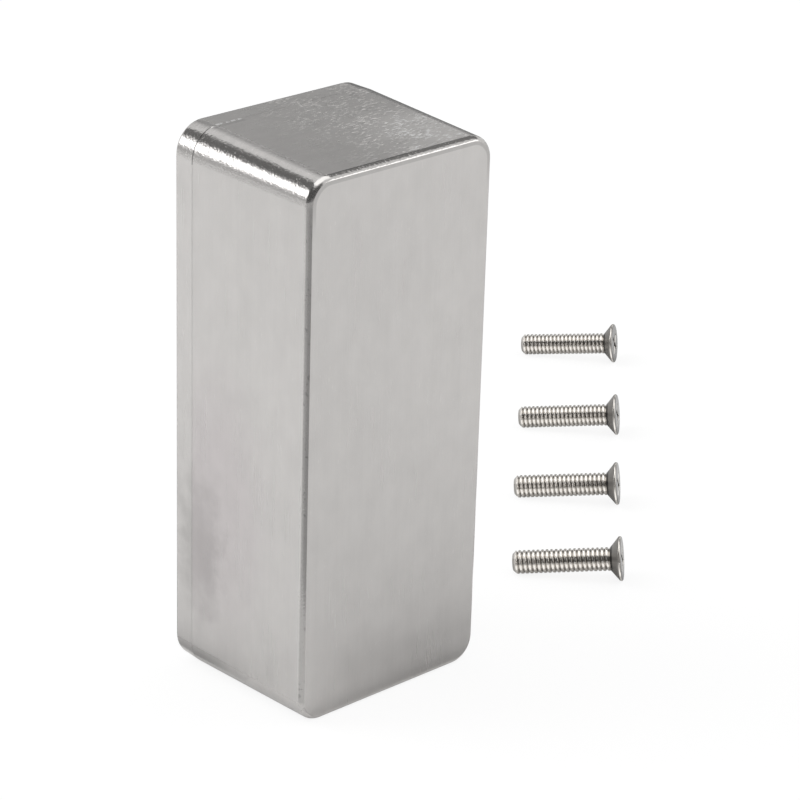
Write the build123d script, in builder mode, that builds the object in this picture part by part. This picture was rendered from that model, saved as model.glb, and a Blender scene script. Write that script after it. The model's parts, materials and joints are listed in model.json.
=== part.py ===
from build123d import *
from math import atan2, cos, isclose, radians, sin, tan
import os

# A small die-cast aluminium case that stands on one short end, with its lid at the back.
# Lengths are in millimetres and angles in degrees.
# The origin is the centre of the flat strip that the case stands on, and +Z is up.

# Outline of the case where the base and the lid meet, and its full depth
length = 92.6
width = 38.5
depth = 31.0
corner_radius = 5.0
seam_break = 0.05

# Base: a drafted tub, open towards the lid
draft = 1.8
wall = 2.0
face_thickness = 2.2
face_rim_radius = 1.2
inside_corner_radius = 1.2
inside_floor_radius = 0.8

# Lid: a shallow tray with a tongue that drops inside the walls of the base
lid_edge = 4.4
lid_draft = 1.5
lid_plate = 2.0
lid_rim_radius = 0.6
tongue_height = 1.6
tongue_width = 1.3
tongue_clearance = 0.2
tongue_chamfer = 0.3

# Screw pillars in the corners of the base, and the holes for the lid screws
pillar_inset = 5.5
pillar_radius = 4.2
tap_radius = 1.7
tap_spare = 2.0
tap_lead_in = 0.3
tap_lead_in_angle = 90
clearance_radius = 2.2
countersink_angle = 100
countersink_clearance = 0.5

# Lid screws: flat heads with a cross recess
screw_length = 19.0
screw_radius = 2.05
screw_head_radius = 3.9
screw_head_land = 0.45
screw_tip_chamfer = 0.6
recess_span = 4.4
recess_slot = 1.0
recess_depth = 2.1
recess_taper = 12

# Where each loose screw lies on the bench: x and y of its middle, the way its
# head points, and how far it has rolled about its own axis
screw_places = (
    (123.6, 70.3, -54, 40),
    (97.1, 43.5, -51, 48),
    (74.0, 20.6, -50, 43),
    (51.7, -2.3, -49, 46),
)

# Worked out from the sizes above
base_depth = depth - lid_edge
core_depth = base_depth - face_thickness
tray_depth = lid_edge - lid_plate
tray_inset = wall + tongue_clearance + tongue_width
pillar_reach = pillar_inset + pillar_radius
rim_start = face_rim_radius / tan(radians(45 + draft / 2))
rest_length = base_depth / cos(radians(draft)) - rim_start

# The draft narrows the core, so its corners are rounder at the mouth of the base
mouth_corner_radius = inside_corner_radius + core_depth * tan(radians(draft))

# The seam plane faces the closed face of the base. It leans by the draft, so that
# the drafted end of the base lies flat on the bench.
seam = Plane(
    origin=(
        0,
        rest_length / 2 - length / 2 * sin(radians(draft)),
        length / 2 * cos(radians(draft)),
    ),
    x_dir=(1, 0, 0),
    z_dir=(0, -cos(radians(draft)), -sin(radians(draft))),
)
lid_side = -seam
lid_face = lid_side.offset(lid_edge)
to_face = Axis(seam.origin, seam.z_dir)
to_lid = Axis(seam.origin, lid_side.z_dir)
holes_across = width - 2 * pillar_inset
holes_along = length - 2 * pillar_inset


def hollow_outline(inset, reach):
    """Draw an inside outline that leaves solid metal round each corner screw."""
    Rectangle(width - 2 * inset, length - 2 * inset)
    with GridLocations(width, length, 2, 2):
        RectangleRounded(2 * reach, 2 * reach, pillar_radius, mode=Mode.SUBTRACT)


def round_corners(sketch, inset, radius):
    """Round the corners of a hollow outline where its pads meet its straight walls."""
    on_side = width / 2 - inset
    on_end = length / 2 - inset
    corners = sketch.vertices().filter_by(
        lambda v: isclose(abs(v.X), on_side) or isclose(abs(v.Y), on_end)
    )
    fillet(corners, radius)


# The steel core of the mould: the space inside the base, with its screw pillars
with BuildPart() as core:
    with BuildSketch(seam) as core_outline:
        hollow_outline(wall, pillar_reach)
        round_corners(core_outline, wall, mouth_corner_radius)
    extrude(amount=core_depth, taper=draft)
    fillet(core.faces().sort_by(to_face)[-1].edges(), inside_floor_radius)

with BuildPart() as base:
    with BuildSketch(seam):
        RectangleRounded(width, length, corner_radius)
    extrude(amount=base_depth, taper=draft)
    chamfer(base.faces().sort_by(to_face)[0].edges(), seam_break)
    fillet(base.faces().sort_by(to_face)[-1].edges(), face_rim_radius)
    add(core.part, mode=Mode.SUBTRACT)
    # Tapped holes, deep enough for the screws with the lid on
    with Locations(lid_side):
        with GridLocations(holes_across, holes_along, 2, 2):
            CounterSinkHole(
                tap_radius,
                tap_radius + tap_lead_in,
                depth=screw_length - lid_edge + tap_spare,
                counter_sink_angle=tap_lead_in_angle,
            )

with BuildPart() as lid:
    with BuildSketch(lid_side):
        RectangleRounded(width, length, corner_radius)
    extrude(amount=lid_edge, taper=lid_draft)
    chamfer(lid.faces().sort_by(to_lid)[0].edges(), seam_break)
    fillet(lid.faces().sort_by(to_lid)[-1].edges(), lid_rim_radius)
    # The inside of the tray, which leaves a pad over each screw pillar
    with BuildSketch(seam) as tray_outline:
        hollow_outline(tray_inset, pillar_reach)
        round_corners(tray_outline, tray_inset, inside_corner_radius)
    extrude(amount=-tray_depth, taper=draft, mode=Mode.SUBTRACT)
    # The tongue stops short of the pillars and of the rounding beside them
    with BuildSketch(seam):
        hollow_outline(wall + tongue_clearance, pillar_reach + mouth_corner_radius)
        Rectangle(width - 2 * tray_inset, length - 2 * tray_inset, mode=Mode.SUBTRACT)
    extrude(amount=tongue_height, taper=draft)
    chamfer(lid.faces().group_by(to_face)[-1].edges(), tongue_chamfer)
    with Locations(lid_face):
        with GridLocations(holes_across, holes_along, 2, 2):
            CounterSinkHole(
                clearance_radius,
                screw_head_radius + countersink_clearance,
                depth=2 * lid_edge,
                counter_sink_angle=countersink_angle,
            )


def screw_plane(x, y, heading, roll):
    """Plane at the tip of a screw that lies on the bench, facing along it to its head."""
    reach = screw_length - screw_head_land - screw_tip_chamfer
    tilt = atan2(screw_head_radius - screw_radius, reach)
    tip_height = screw_radius * cos(tilt) - screw_tip_chamfer * sin(tilt)
    along = Vector(
        cos(tilt) * cos(radians(heading)),
        cos(tilt) * sin(radians(heading)),
        sin(tilt),
    )
    middle = Vector(x, y, tip_height + screw_length / 2 * sin(tilt))
    side = Vector(0, 0, 1).cross(along).normalized()
    over = along.cross(side)
    turned = side * cos(radians(roll)) + over * sin(radians(roll))
    return Plane(origin=middle - along * (screw_length / 2), x_dir=turned, z_dir=along)


# A lid screw is made upright, with its tip at the origin: it is turned along its axis,
# and the cross recess is pressed into its head
cone_end = screw_length - screw_head_land
cone_height = (screw_head_radius - screw_radius) / tan(radians(countersink_angle / 2))
with BuildPart() as lid_screw:
    with BuildSketch(Plane.XZ):
        with BuildLine():
            Polyline(
                (0, 0),
                (screw_radius - screw_tip_chamfer, 0),
                (screw_radius, screw_tip_chamfer),
                (screw_radius, cone_end - cone_height),
                (screw_head_radius, cone_end),
                (screw_head_radius, screw_length),
                (0, screw_length),
                close=True,
            )
        make_face()
    revolve(axis=Axis.Z)
    with BuildSketch(Plane.XY.offset(screw_length)):
        Rectangle(recess_span, recess_slot)
        Rectangle(recess_slot, recess_span)
    extrude(amount=-recess_depth, taper=recess_taper, mode=Mode.SUBTRACT)

# Put the pieces together and write them
base.part.label = "base"
lid.part.label = "lid"
pieces = [base.part, lid.part]
for number, place in enumerate(screw_places, start=1):
    with BuildPart() as lying_screw:
        with Locations(screw_plane(*place)):
            add(lid_screw.part)
    lying_screw.part.label = f"lid_screw_{number}"
    pieces.append(lying_screw.part)

os.makedirs("parts", exist_ok=True)
for piece in pieces:
    export_step(piece, f"parts/{piece.label}.step")
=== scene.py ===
# %% [markdown]
# A small die-cast case stands on its short end, and its four lid screws lie beside it.
# The solids of the case already have the right shape, so this lesson gives them a finish.
# The screws get new meshes, because a plain shank has no thread to catch the light.
# We work in metres, with the bench at z = 0. Sizes in millimetres say so.

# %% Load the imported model
import json
from math import atan2, cos, pi, radians, sin, tan

import bpy
from mathutils import Matrix, Vector


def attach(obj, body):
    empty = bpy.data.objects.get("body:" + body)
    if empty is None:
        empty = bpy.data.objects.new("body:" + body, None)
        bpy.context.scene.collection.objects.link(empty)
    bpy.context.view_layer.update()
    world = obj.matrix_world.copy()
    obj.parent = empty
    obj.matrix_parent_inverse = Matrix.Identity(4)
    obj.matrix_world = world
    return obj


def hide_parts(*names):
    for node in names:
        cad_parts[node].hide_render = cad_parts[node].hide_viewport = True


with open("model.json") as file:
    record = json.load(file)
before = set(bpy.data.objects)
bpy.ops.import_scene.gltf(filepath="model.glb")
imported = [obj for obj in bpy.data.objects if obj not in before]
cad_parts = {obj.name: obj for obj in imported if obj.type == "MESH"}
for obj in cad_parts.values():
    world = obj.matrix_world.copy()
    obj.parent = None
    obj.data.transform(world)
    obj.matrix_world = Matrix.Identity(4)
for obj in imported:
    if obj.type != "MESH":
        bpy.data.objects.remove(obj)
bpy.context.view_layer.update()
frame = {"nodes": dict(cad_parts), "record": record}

print("pieces:", sorted(frame["nodes"]))

# %% [markdown]
# The photograph was taken with a long lens from the front left, a little above the case.
# The heading, height and roll were found by fitting the outline of the case.
# We build the camera's own three directions from those angles, which is more exact than
# aiming it at a target, because the small roll is kept.

# %% Camera
mm = 0.001
image_side = 800            # pixels
sensor_side = 36.0          # millimetres
lens_in_pixels = 3165.34
camera_heading = radians(-41.9845)
camera_height = radians(22.5725)
camera_roll = radians(0.3832)
camera_eye = Vector((-301.2665, -350.8793, 238.6428)) * mm
nearest_seen = 0.01


def camera_directions(heading, height, roll):
    """Right, up and back of a camera that looks at the case from a heading and a height."""
    back = Vector((sin(heading) * cos(height), -cos(heading) * cos(height), sin(height)))
    level = Vector((cos(heading), sin(heading), 0.0))
    above = back.cross(level)
    right = level * cos(roll) + above * sin(roll)
    up = above * cos(roll) - level * sin(roll)
    return right, up, back


directions = Matrix(camera_directions(camera_heading, camera_height, camera_roll))
camera_data = bpy.data.cameras.new("camera")
camera_data.sensor_width = sensor_side
camera_data.lens = lens_in_pixels * sensor_side / image_side
camera_data.clip_start = nearest_seen
camera = bpy.data.objects.new("camera", camera_data)
camera.matrix_world = Matrix.Translation(camera_eye) @ directions.transposed().to_4x4()
bpy.context.scene.collection.objects.link(camera)
bpy.context.scene.camera = camera
bpy.context.scene.view_settings.view_transform = "Standard"
print("lens:", round(camera_data.lens, 1), "mm")

# %% [markdown]
# A shader is a tree of nodes. We need the same three steps for each node: add it,
# set or link its inputs, and change its settings. One short helper does all three, and
# the others use it for the kinds of node that we need most.

# %% Helpers for shader trees
mix_sockets = {"FLOAT": (2, 3, 0), "VECTOR": (4, 5, 1), "RGBA": (6, 7, 2)}


def put(tree, kind, inputs=None, **settings):
    """Add a node to a tree, apply its settings, and set or link its inputs."""
    node = tree.nodes.new("ShaderNode" + kind)
    for name, value in settings.items():
        setattr(node, name, value)
    for name, value in (inputs or {}).items():
        if isinstance(value, bpy.types.NodeSocket):
            tree.links.new(value, node.inputs[name])
        else:
            node.inputs[name].default_value = value
    return node


def arithmetic(tree, operation, first, second=0.0, third=0.0, clamp=False):
    """Add a Math node, and return its result."""
    node = put(tree, "Math", {0: first, 1: second, 2: third}, operation=operation)
    node.use_clamp = clamp
    return node.outputs[0]


def product(tree, first, *others):
    """Multiply two or more values."""
    for other in others:
        first = arithmetic(tree, "MULTIPLY", first, other)
    return first


def without_sign(tree, value):
    """The size of a value, whether it is above or below zero."""
    return arithmetic(tree, "ABSOLUTE", value)


def vector_step(tree, operation, first, second=(0, 0, 0)):
    """Add a Vector Math node, and return its result."""
    return put(tree, "VectorMath", {0: first, 1: second}, operation=operation).outputs[0]


def scaled(tree, vector, scale):
    """Multiply all three parts of a vector or colour by one value."""
    return put(tree, "VectorMath", {0: vector, 3: scale}, operation="SCALE").outputs[0]


def length_of(tree, vector):
    """How long a vector is."""
    return put(tree, "VectorMath", {0: vector}, operation="LENGTH").outputs["Value"]


def parts_of(tree, vector):
    """The x, y and z of a vector."""
    return put(tree, "SeparateXYZ", {0: vector}).outputs[:3]


def ramp(tree, value, low, high, to_low=0.0, to_high=1.0):
    """Turn a value between low and high into one between to_low and to_high, smoothly."""
    node = put(tree, "MapRange", {0: value, 1: low, 2: high, 3: to_low, 4: to_high})
    node.interpolation_type = "SMOOTHSTEP"
    return node.outputs[0]


def between(tree, share, at_none, at_full):
    """Turn a share of 0 to 1 into a value, along a straight line."""
    return put(tree, "MapRange", {0: share, 3: at_none, 4: at_full}).outputs[0]


def blend(tree, share, first, second, kind="FLOAT"):
    """Mix two values, vectors or colours: a share of 0 gives the first, and 1 the second."""
    low, high, result = mix_sockets[kind]
    return put(tree, "Mix", {0: share, low: first, high: second}, data_type=kind).outputs[result]


def noise(tree, place, scale, detail, roughness=0.5):
    """Add a noise texture, and return its value."""
    inputs = {"Vector": place, "Scale": scale, "Detail": detail, "Roughness": roughness}
    return put(tree, "TexNoise", inputs).outputs[0]


def empty_tree(owner):
    """Turn on an owner's nodes and clear them."""
    owner.use_nodes = True
    owner.node_tree.nodes.clear()
    return owner.node_tree


def sees_backdrop(tree):
    """1 for the rays that show the backdrop: to the camera, in gloss and through glass."""
    rays = put(tree, "LightPath").outputs
    seen = arithmetic(tree, "MAXIMUM", rays["Is Camera Ray"], rays["Is Glossy Ray"])
    return arithmetic(tree, "MAXIMUM", seen, rays["Is Transmission Ray"]), rays


print("helpers ready, for mixes of", sorted(mix_sockets))

# %% [markdown]
# The case stands on a white bench before a white backdrop, and in the photograph both are
# pure white. The bench could be lit until it clips, but that would burn out the metal too.
# So for the camera the bench gives off most of its white by itself, and the lamps only add
# the last part, which is the part that the shadow takes away. The metal sees the bench as
# it is, so the case darkens towards its foot, where it keeps the light off the bench.

# %% Bench and backdrop
bench_reach = 3.0
own_white = 0.87            # what the bench gives off by itself, seen by the camera
lit_white = 0.165           # and how much of the lamps' light it adds
own_white_in_metal = 0.10   # the same two, seen as a reflection in the metal
lit_white_in_metal = 0.80
lit_white_elsewhere = 0.8   # how much of the lamps' light it throws back on other things
room_light = 0.70
white = (1.0, 1.0, 1.0, 1.0)


def bench_material():
    """White by itself, with a little of the lamps' light, and both change in the metal."""
    material = bpy.data.materials.new("white_bench")
    tree = empty_tree(material)
    backdrop, rays = sees_backdrop(tree)
    in_metal = rays["Is Glossy Ray"]
    strength = product(tree, between(tree, in_metal, own_white, own_white_in_metal), backdrop)
    lit = between(tree, in_metal, lit_white, lit_white_in_metal)
    lit_share = blend(tree, backdrop, lit_white_elsewhere, lit)
    shade = put(tree, "BsdfDiffuse", {"Color": lit_share})
    own = put(tree, "Emission", {"Color": white, "Strength": strength})
    both = put(tree, "AddShader", {0: shade.outputs[0], 1: own.outputs[0]})
    put(tree, "OutputMaterial", {"Surface": both.outputs[0]})
    return material


def studio_sheet(name, points, faces, material):
    """A sheet that belongs to the studio, and is no part of the object."""
    mesh = bpy.data.meshes.new(name)
    mesh.from_pydata(points, [], faces)
    mesh.materials.append(material)
    sheet = bpy.data.objects.new(name, mesh)
    bpy.context.scene.collection.objects.link(sheet)
    return sheet


square = ((-1, -1), (1, -1), (1, 1), (-1, 1))
bench_corners = [(x * bench_reach, y * bench_reach, 0.0) for x, y in square]
bench = studio_sheet("bench", bench_corners, [(0, 1, 2, 3)], bench_material())

world = bpy.data.worlds.new("studio")
bpy.context.scene.world = world
world_tree = empty_tree(world)
backdrop, _ = sees_backdrop(world_tree)
strength = blend(world_tree, backdrop, room_light, 1.0)
air = put(world_tree, "Background", {"Color": white, "Strength": strength})
put(world_tree, "OutputWorld", {"Surface": air.outputs[0]})
print(bench.name, "is", bench_reach * 2, "m across")

# %% [markdown]
# Polished and brushed metal has hardly any colour of its own: what we see is the studio.
# The bands on the rounded corners of the case hint at where bright things stood round it.
# A bright softbox stands to the back left, and a weaker one to the front right. A third
# lamp only lights the bench, and has no reflection in the metal.
# We place each by its heading and height in degrees, as seen from the case.

# %% Lamps
case_middle = Vector((0.0, 0.0, 0.05))
lamp_distance = 0.9


def toward(heading, height):
    """Direction from the case: heading 0 is straight back and 90 is to the right."""
    turn, lift = radians(heading), radians(height)
    return Vector((sin(turn) * cos(lift), cos(turn) * cos(lift), sin(lift)))


def facing_case(place):
    """Rotation that turns a lamp's -Z towards the case."""
    return (case_middle - place).to_track_quat("-Z", "Y").to_matrix().to_4x4()


def softbox(name, heading, height, width, tall, brightness):
    """A rectangular lamp with a given brightness of its face, where 1 is white."""
    lamp = bpy.data.lights.new(name, "AREA")
    lamp.shape = "RECTANGLE"
    lamp.size, lamp.size_y = width, tall
    lamp.energy = brightness * pi * width * tall
    place = case_middle + toward(heading, height) * lamp_distance
    holder = bpy.data.objects.new(name, lamp)
    holder.matrix_world = Matrix.Translation(place) @ facing_case(place)
    holder.visible_camera = False
    bpy.context.scene.collection.objects.link(holder)
    return holder


lamps = [
    softbox("softbox_back_left", -44, 22.5, 0.40, 0.285, 2.2),
    softbox("softbox_front_right", 136, 18, 0.45, 0.40, 1.4),
    softbox("fill_back_left", -44, 50, 0.5, 0.5, 2.2),
]
lamps[-1].visible_glossy = False
print("lamps:", [lamp.name for lamp in lamps])

# %% [markdown]
# Between the lamps the room is darker, and metal needs that too, or it looks like paper.
# Dark and grey cards round the object do this. Ours are seen only as reflections: the
# camera looks straight through them. A curved card is given by two headings, two heights
# and its shade, where 0 is black and 1 is white.

# %% Cards round the case
card_distance = 1.1
card_steps = 6


def card_material(shade):
    """An even grey that no lamp changes."""
    material = bpy.data.materials.new(f"card_{round(shade * 100)}")
    tree = empty_tree(material)
    own = put(tree, "Emission", {"Color": white, "Strength": shade})
    put(tree, "OutputMaterial", {"Surface": own.outputs[0]})
    return material


def only_in_gloss(sheet):
    """Let a sheet show as a reflection and nowhere else."""
    sheet.visible_camera = False
    sheet.visible_diffuse = False
    sheet.visible_shadow = False
    return sheet


def card(name, headings, heights, shade):
    """A curved card between two headings and two heights, seen from the case."""
    points, faces = [], []
    in_row = card_steps + 1
    for row in range(in_row):
        height = heights[0] + (heights[1] - heights[0]) * row / card_steps
        for step in range(in_row):
            heading = headings[0] + (headings[1] - headings[0]) * step / card_steps
            points.append(case_middle + toward(heading, height) * card_distance)
            if row < card_steps and step < card_steps:
                first = row * in_row + step
                faces.append((first, first + 1, first + in_row + 1, first + in_row))
    return only_in_gloss(studio_sheet(name, points, faces, card_material(shade)))


cards = [
    card("card_above_left", (-70, -8), (36, 62), 0.22),
    card("card_above_back", (-31, -3), (31.5, 37), 0.22),
    card("card_low_left", (-62, -22), (-2.4, 7), 0.6),
    card("card_back_right", (22, 60), (12, 30), 0.62),
    card("card_low_right", (22, 62), (-2.4, 12), 0.25),
    card("card_step_1", (10, 36), (30, 33), 0.50),
    card("card_step_2", (10, 36), (33, 36), 0.62),
    card("card_step_3", (10, 36), (36, 39.5), 0.76),
    card("card_step_4", (10, 36), (39.5, 43), 0.92),
    card("card_above_right", (36, 110), (29, 60), 0.27),
    card("card_behind_camera", (-190, -64), (0, 55), 0.12),
]
print("cards:", [sheet.name for sheet in cards])

# %% [markdown]
# Mats are level cards. Most lie on the bench, where the lower rounded edges see them. A
# wedge mat fills the space between two headings, as seen from the foot of the near edge.
# A fading mat is black at the case and clear further out. At the foot of the case it is a
# painted soft contact shadow that only the metal sees.

# %% Mats
near_rim_foot = Vector((-0.0185, -0.016, 0.0))
mat_height = 0.0004         # just above the bench, so that the two don't mix
fading_mat_height = 0.0005
wedge_near, wedge_far = 0.045, 0.46


def level_card(name, corners, shade, height=mat_height):
    """A level card with its corners in metres. It lies on the bench unless it gets a height."""
    points = [(x, y, height) for x, y in corners]
    return only_in_gloss(studio_sheet(name, points, [(0, 1, 2, 3)], card_material(shade)))


def wedge_mat(name, headings, shade):
    """A mat on the bench between two headings, as seen from the foot of the near rim."""
    edges = (
        (headings[0], wedge_near), (headings[0], wedge_far),
        (headings[1], wedge_far), (headings[1], wedge_near),
    )
    corners = [near_rim_foot + toward(heading, 0) * reach for heading, reach in edges]
    return level_card(name, [corner[:2] for corner in corners], shade)


def fading_mat(name, axis, near, far, strengths):
    """A dark mat at the foot of the case that fades out along an axis, from near to far.
    The strengths are (place along the other axis, how dark the mat is there)."""
    material = bpy.data.materials.new(name)
    tree = empty_tree(material)
    place = put(tree, "SeparateXYZ", {0: put(tree, "TexCoord").outputs["Object"]}).outputs
    other = "X" if axis == "Y" else "Y"
    (first, at_first), (second, at_second), (last, _) = strengths
    fade = ramp(tree, place[axis], far, near)
    sideways = ramp(tree, place[other], first, second, at_first, at_second)
    cover = product(tree, product(tree, fade, fade), sideways)
    dark = put(tree, "Emission", {"Color": (0, 0, 0, 1), "Strength": 0.0})
    clear = put(tree, "BsdfTransparent")
    both = put(tree, "MixShader", {0: cover, 1: clear.outputs[0], 2: dark.outputs[0]})
    put(tree, "OutputMaterial", {"Surface": both.outputs[0]})
    corners = [(near, first), (near, last), (far, last), (far, first)]
    if axis == "Y":
        corners = [(b, a) for a, b in corners]
    points = [(x, y, fading_mat_height) for x, y in corners]
    return only_in_gloss(studio_sheet(name, points, [(0, 1, 2, 3)], material))


back_right_corners = ((0.175, 0.30), (0.30, 0.175), (0.95, 0.55), (0.55, 0.95))
overhead_corners = ((-0.28, -0.32), (0.44, -0.32), (0.44, 0.4), (-0.28, 0.4))
overhead_height = 0.75
mats = [
    wedge_mat("mat_left", (-52, -84), 0.84),
    wedge_mat("mat_front_left", (-84, -116), 0.62),
    wedge_mat("mat_before_case", (-116, -196), 0.44),
    level_card("mat_back_right", back_right_corners, 0.3),
    level_card("card_overhead", overhead_corners, 1.9, overhead_height),
    # painted contact shadow: the next three darken the bench's reflection at the foot of the case
    fading_mat("shadow_mat_in_front", "Y", -0.0145, -0.040,
               ((-0.013, 0.0), (0.008, 0.36), (0.10, 0.36))),
    fading_mat("shadow_mat_under_edge", "Y", -0.0145, -0.0205,
               ((-0.019, 0.25), (0.0, 0.25), (0.10, 0.25))),
    fading_mat("shadow_mat_at_the_side", "X", -0.0185, -0.036,
               ((0.002, 0.12), (0.014, 0.45), (0.05, 0.45))),
    fading_mat("mat_far_left", "X", -0.30, -0.08,
               ((-0.2, 0.0), (0.1, 0.18), (0.9, 0.18))),
    fading_mat("mat_farther_left", "X", -0.30, -2.4,
               ((-0.2, 0.0), (0.1, 0.30), (2.6, 0.30))),
]
print("mats:", [sheet.name for sheet in mats])

# %% [markdown]
# The case looks brushed on a belt after casting. The belt leaves fine scratches that run
# along the case on its long faces, and across it on its ends. Each scratch is long and very
# thin, so we take a noise pattern and stretch it. Both the case and the screws use grain,
# so it is a group of nodes with its own inputs.

# %% Group: grain
broad_share = 0.21          # the broad scratches are the fine ones, about five times as wide


def new_group(name, inputs, outputs):
    """An empty group of shader nodes with named inputs and outputs."""
    group = bpy.data.node_groups.new(name, "ShaderNodeTree")
    for label, kind, value in inputs:
        socket = group.interface.new_socket(label, in_out="INPUT", socket_type=kind)
        if value is not None:
            socket.default_value = value
    for label in outputs:
        group.interface.new_socket(label, in_out="OUTPUT", socket_type="NodeSocketFloat")
    entry = group.nodes.new("NodeGroupInput")
    leave = group.nodes.new("NodeGroupOutput")
    return group, entry.outputs, leave.inputs


def use_group(tree, group, inputs):
    """Place a group in a tree, and set or link its inputs."""
    return put(tree, "Group", inputs, node_tree=group).outputs


def grain_group():
    """Fine and broad scratches: Place in millimetres, Stretch in scratches per millimetre."""
    group, entry, leave = new_group(
        "grain",
        [("Place", "NodeSocketVector", None), ("Stretch", "NodeSocketVector", (3.0, 3.0, 0.1))],
        ["Fine", "Broad"],
    )
    placed = vector_step(group, "MULTIPLY", entry["Place"], entry["Stretch"])
    wide = vector_step(group, "MULTIPLY", placed, (broad_share, broad_share, broad_share))
    group.links.new(noise(group, placed, 1.0, 4.0, 0.65), leave["Fine"])
    group.links.new(noise(group, wide, 1.0, 2.0), leave["Broad"])
    return group


grain = grain_group()
print("group:", grain.name, [socket.name for socket in grain.interface.items_tree])

# %% [markdown]
# The flat faces look sanded and the rounded edges smoother, and painted shade in the colour
# makes the rounded edges darker. The way the surface faces tells which is which: on a flat face
# one part of its direction is close to 1. We turn the facing with the case, so that along the
# case counts as up although it leans.

# %% Group: which face


def face_group():
    """Masks for flat faces, for the two ends, for the long sides and for rounded edges."""
    group, entry, leave = new_group(
        "which_face",
        [("Facing", "NodeSocketVector", None)],
        ["Flat", "End", "Side", "Rounded"],
    )
    steep = [without_sign(group, part) for part in parts_of(group, entry["Facing"])]
    most = arithmetic(group, "MAXIMUM", steep[0], steep[1])
    most = arithmetic(group, "MAXIMUM", most, steep[2])
    group.links.new(ramp(group, most, 0.992, 0.9985), leave["Flat"])
    group.links.new(ramp(group, most, 0.9994, 0.985), leave["Rounded"])
    group.links.new(ramp(group, steep[2], 0.93, 0.99), leave["End"])
    group.links.new(ramp(group, steep[2], 0.35, 0.12), leave["Side"])
    return group


which_face = face_group()
print("group:", which_face.name)

# %% [markdown]
# Handling leaves soft, darker smudges with a ragged edge. One group makes a smudge round a
# given centre: it bends the distance from the centre with noise and fades it out.
# Another makes flecks, which are short deep scratches that glint. They are the peaks of
# a stretched noise, and a broad noise gathers them in some places.

# %% Groups: smudge and flecks
crowd_strength = 0.4


def smudge_group():
    """1 at the centre of a smudge and 0 outside its reach, in millimetres."""
    group, entry, leave = new_group(
        "smudge",
        [("Place", "NodeSocketVector", None), ("Centre", "NodeSocketVector", (0, 0, 0)),
         ("Reach", "NodeSocketVector", (5, 5, 5)), ("Ragged", "NodeSocketFloat", 6.0)],
        ["Mask"],
    )
    colours = put(group, "TexNoise", {"Vector": entry["Place"], "Scale": 0.3, "Detail": 4.0})
    wobble = vector_step(group, "SUBTRACT", colours.outputs["Color"], (0.5, 0.5, 0.5))
    bent = scaled(group, wobble, entry["Ragged"])
    offset = vector_step(group, "SUBTRACT", entry["Place"], entry["Centre"])
    moved = vector_step(group, "ADD", offset, bent)
    far = length_of(group, vector_step(group, "DIVIDE", moved, entry["Reach"]))
    group.links.new(ramp(group, far, 1.0, 0.25), leave["Mask"])
    return group


def fleck_group():
    """Short bright scratches: a higher Threshold leaves fewer of them."""
    group, entry, leave = new_group(
        "flecks",
        [("Place", "NodeSocketVector", None), ("Stretch", "NodeSocketVector", (1.0, 4.0, 4.0)),
         ("Threshold", "NodeSocketFloat", 0.66)],
        ["Mask"],
    )
    spots = noise(group, vector_step(group, "MULTIPLY", entry["Place"], entry["Stretch"]), 1.0, 1.0)
    crowd = noise(group, entry["Place"], 0.2, 2.0)
    gathered = arithmetic(group, "MULTIPLY_ADD", crowd, crowd_strength, -crowd_strength / 2)
    value = arithmetic(group, "ADD", spots, gathered)
    over = arithmetic(group, "SUBTRACT", value, entry["Threshold"])
    group.links.new(ramp(group, over, 0.0, 0.06), leave["Mask"])
    return group


smudge, flecks = smudge_group(), fleck_group()
print("groups:", smudge.name, flecks.name)

# %% [markdown]
# A thin line of painted shade runs just inside the rounded rim of the closed face. The face is a
# rectangle with rounded corners, and the distance to its outline is easy to work out: fold
# the face into one quarter, and measure from the centre of the corner's arc.

# %% Group: line inside an outline
closed_face_half = (17.5, 1000.0, 44.55)          # millimetres; any depth counts
closed_face_corner = 3.3


def outline_group():
    """1 on a line just inside a rounded rectangle that is given by its half width and height."""
    group, entry, leave = new_group(
        "outline_line",
        [("Place", "NodeSocketVector", None), ("Half", "NodeSocketVector", (17, 1000, 44)),
         ("Radius", "NodeSocketFloat", 3.0), ("Width", "NodeSocketFloat", 0.3)],
        ["Mask"],
    )
    folded = vector_step(group, "ABSOLUTE", entry["Place"])
    arc = vector_step(group, "SUBTRACT", entry["Half"], entry["Radius"])
    outside = vector_step(group, "MAXIMUM", vector_step(group, "SUBTRACT", folded, arc))
    inside = arithmetic(group, "SUBTRACT", entry["Radius"], length_of(group, outside))
    share = arithmetic(group, "DIVIDE", inside, entry["Width"])
    group.links.new(ramp(group, share, 1.3, 0.7), leave["Mask"])
    return group


outline_line = outline_group()
print("group:", outline_line.name)

# %% [markdown]
# Now the aluminium, step by step. First we find where a point lies on the case: across it
# to the right, along it from the seam towards the lid, and up it. All are in millimetres
# from the middle of the seam, and both the place and the facing are turned upright.

# %% Places on the case
lean = radians(1.8)
depth, lid_edge = 31.0, 4.4                       # millimetres
mount_places = {
    mount["name"]: Vector(mount["pos_m"]) / mm for mount in frame["record"]["mounts"]
}
seam_middle = mount_places["lid_face"].lerp(mount_places["closed_face"], lid_edge / depth)


def turned(tree, vector, angle, kind="POINT"):
    """Turn a place, or with the kind NORMAL a facing, about the case's width."""
    inputs = {"Vector": vector, "Rotation": (angle, 0, 0)}
    return put(tree, "Mapping", inputs, vector_type=kind).outputs[0]


def places_on_case(tree):
    """The place in millimetres from the middle of the seam, and the way the surface faces."""
    where = put(tree, "TexCoord").outputs
    in_mm = vector_step(tree, "MULTIPLY", where["Object"], (1000, 1000, 1000))
    from_seam = vector_step(tree, "SUBTRACT", in_mm, seam_middle)
    return turned(tree, from_seam, -lean), turned(tree, where["Normal"], -lean, "NORMAL")


print("middle of the seam:", [round(part, 2) for part in seam_middle], "mm")

# %% [markdown]
# The closed face looks cut flat right up to its rounded rim, which leaves a crease. The two
# castings look sanded together, so the seam is flush wherever no dirt marks it. Both only
# change the way that the surface seems to face, in a strip about a tenth of a millimetre wide.

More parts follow.
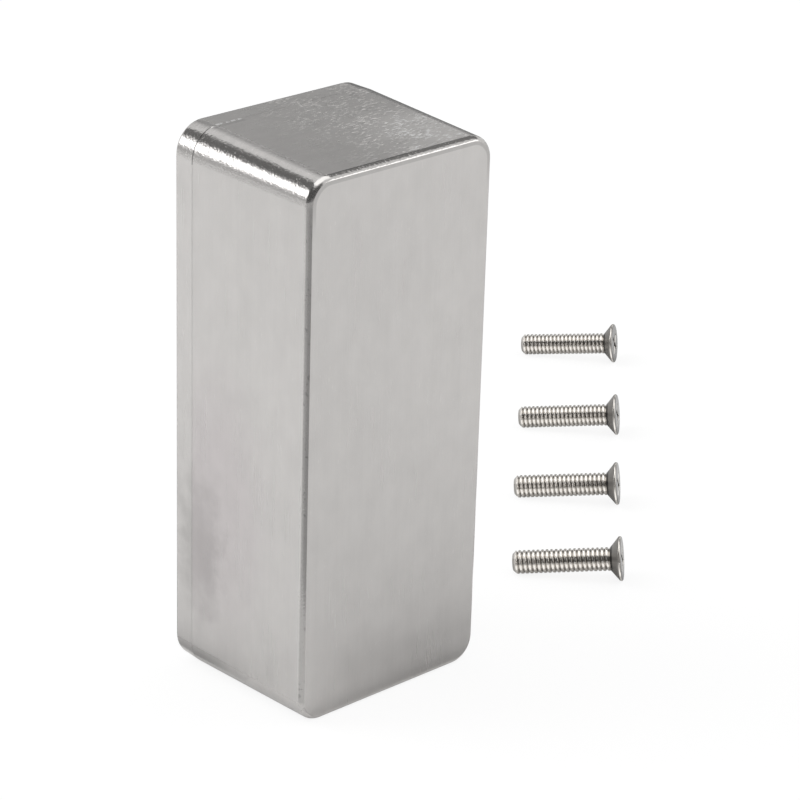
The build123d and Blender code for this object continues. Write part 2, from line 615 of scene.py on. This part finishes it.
# %% Rim and seam
face_cut, face_cut_fade = 0.13, 0.02
seam_line = (0.16, 0.06)                          # from where the dirt fades in, to full
flush_line = (0.09, 0.06)
clean_end, dirty_end = -14.0, -13.0               # across the upper end
dirt_in_corner, dirt_elsewhere, dirt_across = 0.20, 0.66, 0.62


def worn_facing(tree, place, facing):
    """The facing after the belt, and a mask of the dirt in the seam."""
    across, along, up = parts_of(tree, place)
    below_face = arithmetic(tree, "ADD", along, depth - lid_edge)
    cut = ramp(tree, below_face, face_cut, face_cut - face_cut_fade)
    facing = blend(tree, cut, facing, (0, -1, 0), "VECTOR")
    from_seam = without_sign(tree, along)
    dirty_from = ramp(tree, up, 40.5, 42.5, dirt_elsewhere, dirt_in_corner)
    dirty_from = blend(tree, ramp(tree, across, clean_end, dirty_end), dirty_from, dirt_across)
    dirt = arithmetic(tree, "SUBTRACT", noise(tree, place, 0.35, 2.0), dirty_from)
    dirt = product(tree, ramp(tree, from_seam, *seam_line), ramp(tree, dirt, 0.0, 0.08))
    flush = arithmetic(tree, "SUBTRACT", ramp(tree, from_seam, *flush_line), dirt, clamp=True)
    level = vector_step(tree, "MULTIPLY", facing, (1, 0, 1))
    facing = blend(tree, flush, facing, level, "VECTOR")
    return vector_step(tree, "NORMALIZE", facing), dirt


print("the closed face is cut", face_cut, "mm into its rim")

# %% [markdown]
# The scratches follow the belt, so each kind of face has its own direction. Flecks are
# bright and dark on the upper end, faint on the long sides, and small pits everywhere.

# %% Scratches and flecks
side_stretch, end_stretch, corner_stretch = (3.2, 3.2, 0.06), (0.4, 3.2, 3.2), (2.4, 3.6, 2.4)
fleck_kinds = {                                   # stretch and threshold
    "bright": ((0.9, 4.6, 4.6), 0.605),
    "dark": ((0.6, 3.4, 3.4), 0.61),
    "faint": ((4.5, 4.5, 0.8), 0.75),
    "pit": ((2.6, 2.6, 1.5), 0.72),
    "nick": ((1.3, 1.3, 1.6), 0.66),
}
dark_fleck_shift = (31.0, 0.0, 0.0)               # or they would lie on the bright ones
faint_strength = 0.12


def scratches(tree, place, face):
    """Fine and broad scratches, in the direction of the belt on each kind of face."""
    on_sides, on_ends, on_corners = (
        use_group(tree, grain, {"Place": place, "Stretch": stretch})
        for stretch in (side_stretch, end_stretch, corner_stretch)
    )
    fine, broad = (
        blend(tree, face["Side"],
              blend(tree, face["End"], on_corners[output], on_ends[output]), on_sides[output])
        for output in ("Fine", "Broad")
    )
    calmer = arithmetic(tree, "MULTIPLY_ADD", broad, 0.35, 0.325)
    return fine, blend(tree, face["Side"], broad, calmer)


def fleck_mask(tree, place, kind):
    """The mask of one kind of flecks."""
    stretch, threshold = fleck_kinds[kind]
    inputs = {"Place": place, "Stretch": stretch, "Threshold": threshold}
    return use_group(tree, flecks, inputs)["Mask"]


def fleck_marks(tree, place, face):
    """Bright flecks, dark flecks and pits."""
    across = parts_of(tree, place)[0]
    end_share = product(tree, face["End"], ramp(tree, across, -12, 3, 0.06, 1.0))
    shifted = vector_step(tree, "ADD", place, dark_fleck_shift)
    on_end = product(tree, fleck_mask(tree, place, "bright"), end_share)
    faint = product(tree, face["Side"], faint_strength)
    glint = arithmetic(tree, "MULTIPLY_ADD", fleck_mask(tree, place, "faint"), faint, on_end)
    return {
        "glint": product(tree, glint, face["Flat"]),
        "scuff": product(tree, fleck_mask(tree, shifted, "dark"), end_share),
        "pits": fleck_mask(tree, place, "pit"),
    }


print("kinds of flecks:", sorted(fleck_kinds))

# %% [markdown]
# The other marks each belong to one place: smudges on the left side, a painted glint and a
# painted shadow beside the seam on the upper end, painted light on its front corner, nicks on
# the near rim and a line of painted shade inside the rim of the closed face. The lid's ends
# get a little painted shade and its sides a little painted light.

# %% Marks with a place
seam_smudge = {"Centre": (-19, -2, -23), "Reach": (8, 8, 17), "Ragged": 11.0}
middle_smudge = {"Centre": (-19, -6, -14), "Reach": (8, 16, 30)}
rim_of_face = {"Half": closed_face_half, "Radius": closed_face_corner}


def near_rim_mask(tree, facing):
    """1 on the rounded rim between the closed face and a long side."""
    facing_x, facing_y, _ = parts_of(tree, facing)
    both = product(tree, without_sign(tree, facing_x), without_sign(tree, facing_y))
    return ramp(tree, both, 0.15, 0.4)


def seam_marks(tree, place, face):
    """A dashed painted glint and a soft painted shadow beside the seam, on the left of the end."""
    across, along, _ = parts_of(tree, place)
    seam_end = product(tree, face["End"], ramp(tree, across, -9, -10))
    on_line = ramp(tree, without_sign(tree, along), 0.26, 0.18)
    dashes = ramp(tree, noise(tree, place, 1.5, 1.0), 0.47, 0.54)
    in_front = without_sign(tree, arithmetic(tree, "ADD", along, 0.75))
    return {
        "seam_glint": product(tree, on_line, dashes, seam_end),
        "seam_shadow": product(tree, ramp(tree, in_front, 0.45, 0.25), seam_end),
    }


def placed_marks(tree, place, facing, face, near_rim):
    """Masks of the marks that belong to one place, by name."""
    across, along, up = parts_of(tree, place)
    facing_y = parts_of(tree, facing)[1]
    on_lid = ramp(tree, along, -0.05, 0.05)
    # painted light: the front right of the upper end is made lighter
    front_right = product(tree, ramp(tree, across, -4, 13), ramp(tree, along, -6, -20))
    # painted shade: a thin darker line just inside the rim of the closed face
    rim_shade_line = use_group(tree, outline_line, {"Place": place, **rim_of_face})["Mask"]
    rim_shade_line = product(tree, rim_shade_line, ramp(tree, facing_y, -0.98, -0.995))
    return {
        "near_seam": use_group(tree, smudge, {"Place": place, **seam_smudge})["Mask"],
        "below_middle": use_group(tree, smudge, {"Place": place, **middle_smudge})["Mask"],
        "rim_shade_line": product(tree, rim_shade_line, ramp(tree, up, 36, 42)),
        "on_lid": on_lid,
        # painted shade on the lid's ends, and a little painted light on the lid's sides
        "lid_end": product(tree, on_lid, face["End"]),
        "lid_side": product(tree, on_lid, face["Side"]),
        "front_right": product(tree, front_right, face["End"]),
        "nicks": product(tree, fleck_mask(tree, place, "nick"), near_rim),
        **seam_marks(tree, place, face),
    }


print("smudges at", seam_smudge["Centre"], "and", middle_smudge["Centre"])

# %% [markdown]
# A bare metal has the colour of its reflections. Each mark only scales that colour up or
# down a little. The table says by how much: the first number is the scale where the mark
# is absent, and the second where it is at its full strength.

# %% Colour of the aluminium
aluminium_colour = (0.690, 0.672, 0.656, 1)
aluminium_smudged = (0.690, 0.655, 0.652, 1)
# Painted shade: the rounded edges are darker where they face up or sideways, and less where they
# face down.
rounded_shade, rounded_shade_below = 0.73, 0.92
# Painted light and shade in this table: end paints the upper ends darker, lid_end the lid's ends a
# little darker and lid_side its sides a little lighter, front_right paints light on the front of
# the upper end, the rim line paints shade inside the rim of the closed face, glint and seam_glint
# are painted highlights, and seam_shadow is painted shadow.
tone_steps = {
    "broad": (0.94, 1.06), "fine": (0.965, 1.035), "patches": (0.95, 1.05),
    "clouds": (0.93, 1.07), "near_seam": (1.0, 0.82), "below_middle": (1.0, 0.96),
    "glint": (1.0, 1.65), "rim_shade_line": (1.0, 0.80), "end": (1.0, 0.755),
    "lid_end": (1.0, 0.93), "lid_side": (1.0, 1.02), "seam_dirt": (1.0, 0.5),
    "seam_glint": (1.0, 3.6), "front_right": (1.0, 1.42), "nicks": (1.0, 0.75),
    "scuff": (1.0, 0.84), "seam_shadow": (1.0, 0.82),
}


def case_colour(tree, facing, face, marks, near_rim):
    """The aluminium's colour, scaled by its marks, with painted shade on the rounded edges."""
    facing_z = parts_of(tree, facing)[2]
    # painted shade on the rounded edges, set by the way they face
    skin = ramp(tree, facing_z, 0.0, -0.12, rounded_shade, rounded_shade_below)
    edge_shade_share = blend(tree, face["Side"], face["Rounded"], near_rim)
    tone = blend(tree, edge_shade_share, 1.0, skin)
    for name, scales in tone_steps.items():
        tone = product(tree, tone, between(tree, marks[name], *scales))
    soiled = arithmetic(tree, "MAXIMUM", marks["near_seam"], marks["below_middle"])
    soiled = arithmetic(tree, "SUBTRACT", soiled, marks["on_lid"], clamp=True)
    return scaled(tree, blend(tree, soiled, aluminium_colour, aluminium_smudged, "RGBA"), tone)


print("marks that change the colour:", len(tone_steps))

# %% [markdown]
# Scratches also roughen the metal and tilt its surface by a few hundredths of a
# millimetre, which a Bump node does. The rounded edges are smoother, with a low and uneven
# relief instead of scratches. Brushed metal stretches its highlights across the scratches,
# and the tangent says which way that is.

# %% Relief of the aluminium
rough_flat, rough_rounded = 0.19, 0.03
relief_rounded, relief_flat = 0.00006, 0.000015   # metres
pecked_stretch = (2.2, 3.0, 2.2)


def case_roughness(tree, face, marks, near_rim):
    """How rough the metal is: more in scratches, and less on rounded edges."""
    base = ramp(tree, face["Rounded"], 0.0, 1.0, rough_flat, rough_rounded)
    rough = arithmetic(tree, "MULTIPLY_ADD", marks["fine"], 0.16, base)
    rough = arithmetic(tree, "MULTIPLY_ADD", marks["patches"], 0.06, rough)
    return arithmetic(tree, "MULTIPLY_ADD", near_rim, 0.12, rough)


def case_relief(tree, place, facing, face, marks, near_rim):
    """The normal of the metal, bent by scratches, pits and the uneven rounded edges."""
    pecked = noise(tree, vector_step(tree, "MULTIPLY", place, pecked_stretch), 1.0, 1.0)
    worn = blend(tree, face["Rounded"], marks["fine"], pecked)
    wavy = product(tree, marks["broad"], ramp(tree, face["Rounded"], 0.0, 1.0, 1.0, 0.12))
    sunk = arithmetic(tree, "MULTIPLY_ADD", marks["glint"], -1.6, wavy)
    height = arithmetic(tree, "ADD", worn, sunk)
    height = arithmetic(tree, "MULTIPLY_ADD", marks["pits"], -0.8, height)
    deep = ramp(tree, face["Flat"], 0.0, 1.0, relief_rounded, relief_flat)
    deep = product(tree, deep, ramp(tree, near_rim, 0.0, 1.0, 1.0, 0.4))
    in_world = put(
        tree, "VectorTransform", {0: turned(tree, facing, lean, "NORMAL")},
        vector_type="NORMAL", convert_from="OBJECT", convert_to="WORLD",
    ).outputs[0]
    inputs = {"Strength": 0.6, "Distance": deep, "Height": height, "Normal": in_world}
    return put(tree, "Bump", inputs).outputs[0]


def brushed_across(tree, facing):
    """The tangent: along the width on the closed face and the lid, else along the depth."""
    steep_y = without_sign(tree, parts_of(tree, facing)[1])
    return blend(tree, ramp(tree, steep_y, 0.6, 0.8), (0, 1, 0), (1, 0, 0), "VECTOR")


print("relief:", relief_flat / mm, "to", relief_rounded / mm, "mm")

# %% [markdown]
# The material joins these steps. The case and its lid share it, and their meshes stay as
# the CAD model made them.

# %% Brushed aluminium


def aluminium():
    """Bare brushed aluminium, for both castings."""
    material = bpy.data.materials.new("brushed_aluminium")
    tree = empty_tree(material)
    place, facing = places_on_case(tree)
    facing, seam_dirt = worn_facing(tree, place, facing)
    face = use_group(tree, which_face, {"Facing": facing})
    near_rim = near_rim_mask(tree, facing)
    fine, broad = scratches(tree, place, face)
    squeezed = vector_step(tree, "MULTIPLY", place, (1, 1, 0.6))
    marks = {
        # end carries the painted shade on the upper ends
        "fine": fine, "broad": broad, "seam_dirt": seam_dirt, "end": face["End"],
        "patches": noise(tree, place, 0.09, 3.0), "clouds": noise(tree, squeezed, 0.3, 3.0),
        **fleck_marks(tree, place, face),
        **placed_marks(tree, place, facing, face, near_rim),
    }
    metal = put(tree, "BsdfPrincipled", {
        "Base Color": case_colour(tree, facing, face, marks, near_rim),
        "Metallic": 1.0,
        "Roughness": case_roughness(tree, face, marks, near_rim),
        "Anisotropic": 0.5,
        "Tangent": brushed_across(tree, facing),
        "Normal": case_relief(tree, place, facing, face, marks, near_rim),
    })
    put(tree, "OutputMaterial", {"Surface": metal.outputs[0]})
    return material


case_finish = aluminium()
for name in ("base", "lid"):
    node = frame["nodes"][name]
    for slot in node.material_slots:
        slot.material = case_finish
    print(name, "has", len(node.material_slots), "slot,", len(node.data.polygons), "faces")

# %% [markdown]
# Each lid screw is a machine screw with a countersunk head and a cross recess.
# Its solid is a plain shank. The real thread is one ridge that winds round the shank,
# so we build the screw from rings, from the tip to the bottom of the recess. A ring has
# the same number of points everywhere, and a formula gives how far out each point lies.

# %% Rings of the shank
screw_length = 19.0                               # all in millimetres
screw_radius = 2.05
head_radius = 3.9
head_land = 0.45
tip_chamfer = 0.6
tip_radius = 0.45
head_angle = radians(100 / 2)
pitch = 25.4 / 32
thread_depth = 0.28
crest_edge, flank = 0.94, 0.52                    # shares of half a turn
columns = 64
rows_in_pitch = 14
cone_end = screw_length - head_land
neck = cone_end - (head_radius - screw_radius) / tan(head_angle)


def thread_height(turns):
    """0 in the root and 1 on the crest, for a place counted in turns of the thread."""
    from_crest = abs((turns % 1.0) - 0.5) * 2
    return min(max((crest_edge - from_crest) / flank, 0.0), 1.0)


def shank_ring(z):
    """Distance from the axis of every point of a ring at a height on the shank."""
    cone = head_radius - (screw_length - head_land - z) * tan(head_angle)
    widest = screw_radius - max(tip_chamfer - z, 0.0)
    ring = []
    for column in range(columns):
        crest = thread_height(z / pitch - column / columns)
        out = screw_radius - thread_depth * (1 - crest)
        ring.append(max(min(out, widest), cone))
    return ring


print("one turn of thread every", pitch, "mm")

# %% [markdown]
# The head is a cone with a rounded land, and a cross is pressed into its flat face. The
# cross narrows on its way down, so its rings go from a wide outline to a small one.

# %% Rings of the head
cone_shares = (0.25, 0.5, 0.75, 0.89)
land_profile = (                                  # (below the head's face, in from its edge)
    (0.50, 0.09), (0.40, 0.03), (0.30, 0.0), (0.18, 0.02),
    (0.08, 0.09), (0.02, 0.19), (0.0, 0.32), (0.0, 0.6),
)
recess_mouth, recess_floor = 2.2, 0.95            # from the axis to the end of an arm
recess_bevel = 0.06
recess_bend, recess_depth, recess_point = 1.2, 1.7, 0.35
bend_share = 0.7                                  # how far it has narrowed at the bend
arm_columns = 2


def cross_ring(reach):
    """Outline of a cross, as distances from the axis."""
    quarter = columns // 4
    half_width = reach * tan(2 * pi * arm_columns / columns)
    ring = []
    for column in range(columns):
        step = (column + quarter // 2) % quarter - quarter // 2
        turn = abs(2 * pi * step / columns)
        on_arm = abs(step) <= arm_columns
        ring.append(reach / cos(turn) if on_arm else half_width / sin(turn))
    return ring


def screw_rings():
    """(height, distances) of every ring, from the tip round to the bottom of the recess."""
    rows = int(neck / pitch * rows_in_pitch)
    rings = [(0.0, [tip_radius] * columns)]
    rings += [(neck * row / rows, shank_ring(neck * row / rows)) for row in range(rows + 1)]
    for share in cone_shares:
        z = neck + (cone_end - neck) * share
        rings.append((z, [head_radius - (cone_end - z) * tan(head_angle)] * columns))
    for drop, inset in land_profile:
        rings.append((screw_length - drop, [head_radius - inset] * columns))
    mouth, floor = cross_ring(recess_mouth), cross_ring(recess_floor)
    bend = [a * (1 - bend_share) + b * bend_share for a, b in zip(mouth, floor)]
    rings.append((screw_length, [out + recess_bevel for out in mouth]))
    rings.append((screw_length - recess_bevel, mouth))
    rings.append((screw_length - recess_bend, bend))
    rings.append((screw_length - recess_depth, floor))
    return rings


print("rings in a screw:", len(screw_rings()))

# %% [markdown]
# One closed skin over all the rings makes the mesh. A lying screw rests on the rim of its
# head and on its tip, so its head end is a little higher.

# %% Screw meshes


def screw_mesh(name):
    """One closed skin over all the rings, with a point at the tip and one in the recess."""
    rings = screw_rings()
    points = [(0.0, 0.0, 0.0)]
    for z, ring in rings:
        for column, out in enumerate(ring):
            turn = 2 * pi * column / columns
            points.append((out * cos(turn), out * sin(turn), z))
    points.append((0.0, 0.0, rings[-1][0] - recess_point))
    last = len(points) - 1
    faces = []
    for column in range(columns):
        after = (column + 1) % columns
        faces.append((0, 1 + after, 1 + column))
        for row in range(len(rings) - 1):
            low = 1 + row * columns
            high = low + columns
            faces.append((low + column, low + after, high + after, high + column))
        deepest = 1 + (len(rings) - 1) * columns
        faces.append((deepest + column, deepest + after, last))
    mesh = bpy.data.meshes.new(name)
    mesh.from_pydata([Vector(point) * mm for point in points], [], faces)
    mesh.update()
    return mesh


def screw_frame(x, y, heading, roll):
    """Place and turn of a screw that lies on the bench, with its tip at the origin."""
    tilt = atan2(head_radius - screw_radius, screw_length - head_land - tip_chamfer)
    turn = radians(heading)
    along = Vector((cos(tilt) * cos(turn), cos(tilt) * sin(turn), sin(tilt)))
    side = Vector((0, 0, 1)).cross(along).normalized()
    over = along.cross(side)
    first = side * cos(radians(roll)) + over * sin(radians(roll))
    tip_height = screw_radius * cos(tilt) - tip_chamfer * sin(tilt)
    middle = Vector((x, y, tip_height + screw_length / 2 * sin(tilt)))
    tip = middle - along * (screw_length / 2)
    way = Matrix((first, along.cross(first), along)).transposed().to_4x4()
    return Matrix.Translation(tip * mm) @ way


print("points in a ring:", columns)

# %% [markdown]
# The plating is a slightly warm, bright metal. We paint shade where the light hardly reaches:
# the root of the thread, the underside of the head and the recess, and we paint the flat face
# of the head darker too. Each is found from how far up the screw a point lies, how far out it
# is and whether it faces the tip.

# %% Plated steel
plating_dark, plating_light = (0.58, 0.553, 0.52, 1), (0.74, 0.71, 0.672, 1)
cone_tone, root_tone, face_tone, recess_tone = 0.32, 0.62, 0.24, 0.2


def plated_steel():
    """Bright nickel plating with a turned grain, and painted shade in its hollows and on the head's
    face.
    """
    material = bpy.data.materials.new("nickel_plated_steel")
    tree = empty_tree(material)
    where = put(tree, "TexCoord").outputs
    in_mm = vector_step(tree, "MULTIPLY", where["Object"], (1000, 1000, 1000))
    across_x, across_y, along = parts_of(tree, in_mm)
    level = put(tree, "CombineXYZ", {0: across_x, 1: across_y}).outputs[0]
    out = length_of(tree, level)
    facing_head = parts_of(tree, where["Normal"])[2]
    on_head = ramp(tree, along, neck - 0.1, neck + 0.1)
    cone = product(tree, on_head, ramp(tree, facing_head, -0.3, -0.55))
    in_root = ramp(tree, out, screw_radius - 0.1, screw_radius - thread_depth)
    root = arithmetic(tree, "SUBTRACT", in_root, on_head, clamp=True)
    # painted shade on the flat face of the head
    end = ramp(tree, product(tree, on_head, facing_head), 0.5, 0.9, 1.0, face_tone)
    below_face = ramp(tree, along, screw_length - 0.02, screw_length - 0.1)
    recess = product(tree, below_face, ramp(tree, out, 2.6, 2.4), on_head)
    shank_tone = product(
        tree, ramp(tree, cone, 0, 1, 1.0, cone_tone), ramp(tree, root, 0, 1, 1.0, root_tone))
    head_tone = product(tree, end, ramp(tree, recess, 0, 1, 1.0, recess_tone))
    grained = use_group(tree, grain, {"Place": in_mm, "Stretch": (1.5, 1.5, 5.0)})
    tint = blend(tree, grained["Broad"], plating_dark, plating_light, "RGBA")
    rough = arithmetic(tree, "MULTIPLY_ADD", grained["Fine"], 0.14, 0.10)
    relief = {"Strength": 0.4, "Distance": 0.00001, "Height": grained["Fine"]}
    metal = put(tree, "BsdfPrincipled", {
        "Base Color": scaled(tree, tint, product(tree, shank_tone, head_tone)),
        "Metallic": 1.0,
        "Roughness": arithmetic(tree, "MULTIPLY_ADD", cone, 0.2, rough),
        "Normal": put(tree, "Bump", relief).outputs[0],
    })
    put(tree, "OutputMaterial", {"Surface": metal.outputs[0]})
    return material


screw_finish = plated_steel()
print("material:", screw_finish.name)

# %% [markdown]
# Now we make each screw, lay it down and let it stand for its plain solid. The places are
# those of the CAD model: x and y of the middle in millimetres, the heading of the head, and
# how far the screw has rolled, in degrees. A white card on the camera's side of each gives
# the lower edge of its thread something bright to show.

# %% Four screws on the bench
screw_places = (
    (123.6, 70.3, -54, 40),
    (97.1, 43.5, -51, 48),
    (74.0, 20.6, -50, 43),
    (51.7, -2.3, -49, 46),
)
screw_card = ((-12, 2.3), (12, 3.9), (12, 12), (-12, 12))
screw_card_shade = 1.4
sharp_from = radians(35)


def card_before_screw(x, y, heading, name):
    """A white card on the bench, on the camera's side of a screw."""
    along = Vector((cos(radians(heading)), sin(radians(heading))))
    aside = Vector((along.y, -along.x))
    corners = [(Vector((x, y)) + along * a + aside * b) * mm for a, b in screw_card]
    return level_card(name, corners, screw_card_shade)


for number, place in enumerate(screw_places, start=1):
    node_name = f"lid_screw_{number}"
    mesh = screw_mesh(f"threaded_{node_name}")
    mesh.materials.append(screw_finish)
    mesh.shade_smooth()
    mesh.set_sharp_from_angle(angle=sharp_from)
    screw = bpy.data.objects.new(mesh.name, mesh)
    screw.matrix_world = screw_frame(*place)
    bpy.context.scene.collection.objects.link(screw)
    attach(screw, "root")
    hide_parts(node_name)
    card_before_screw(*place[:3], f"card_before_{node_name}")
    print(screw.name, "has", len(mesh.polygons), "faces")
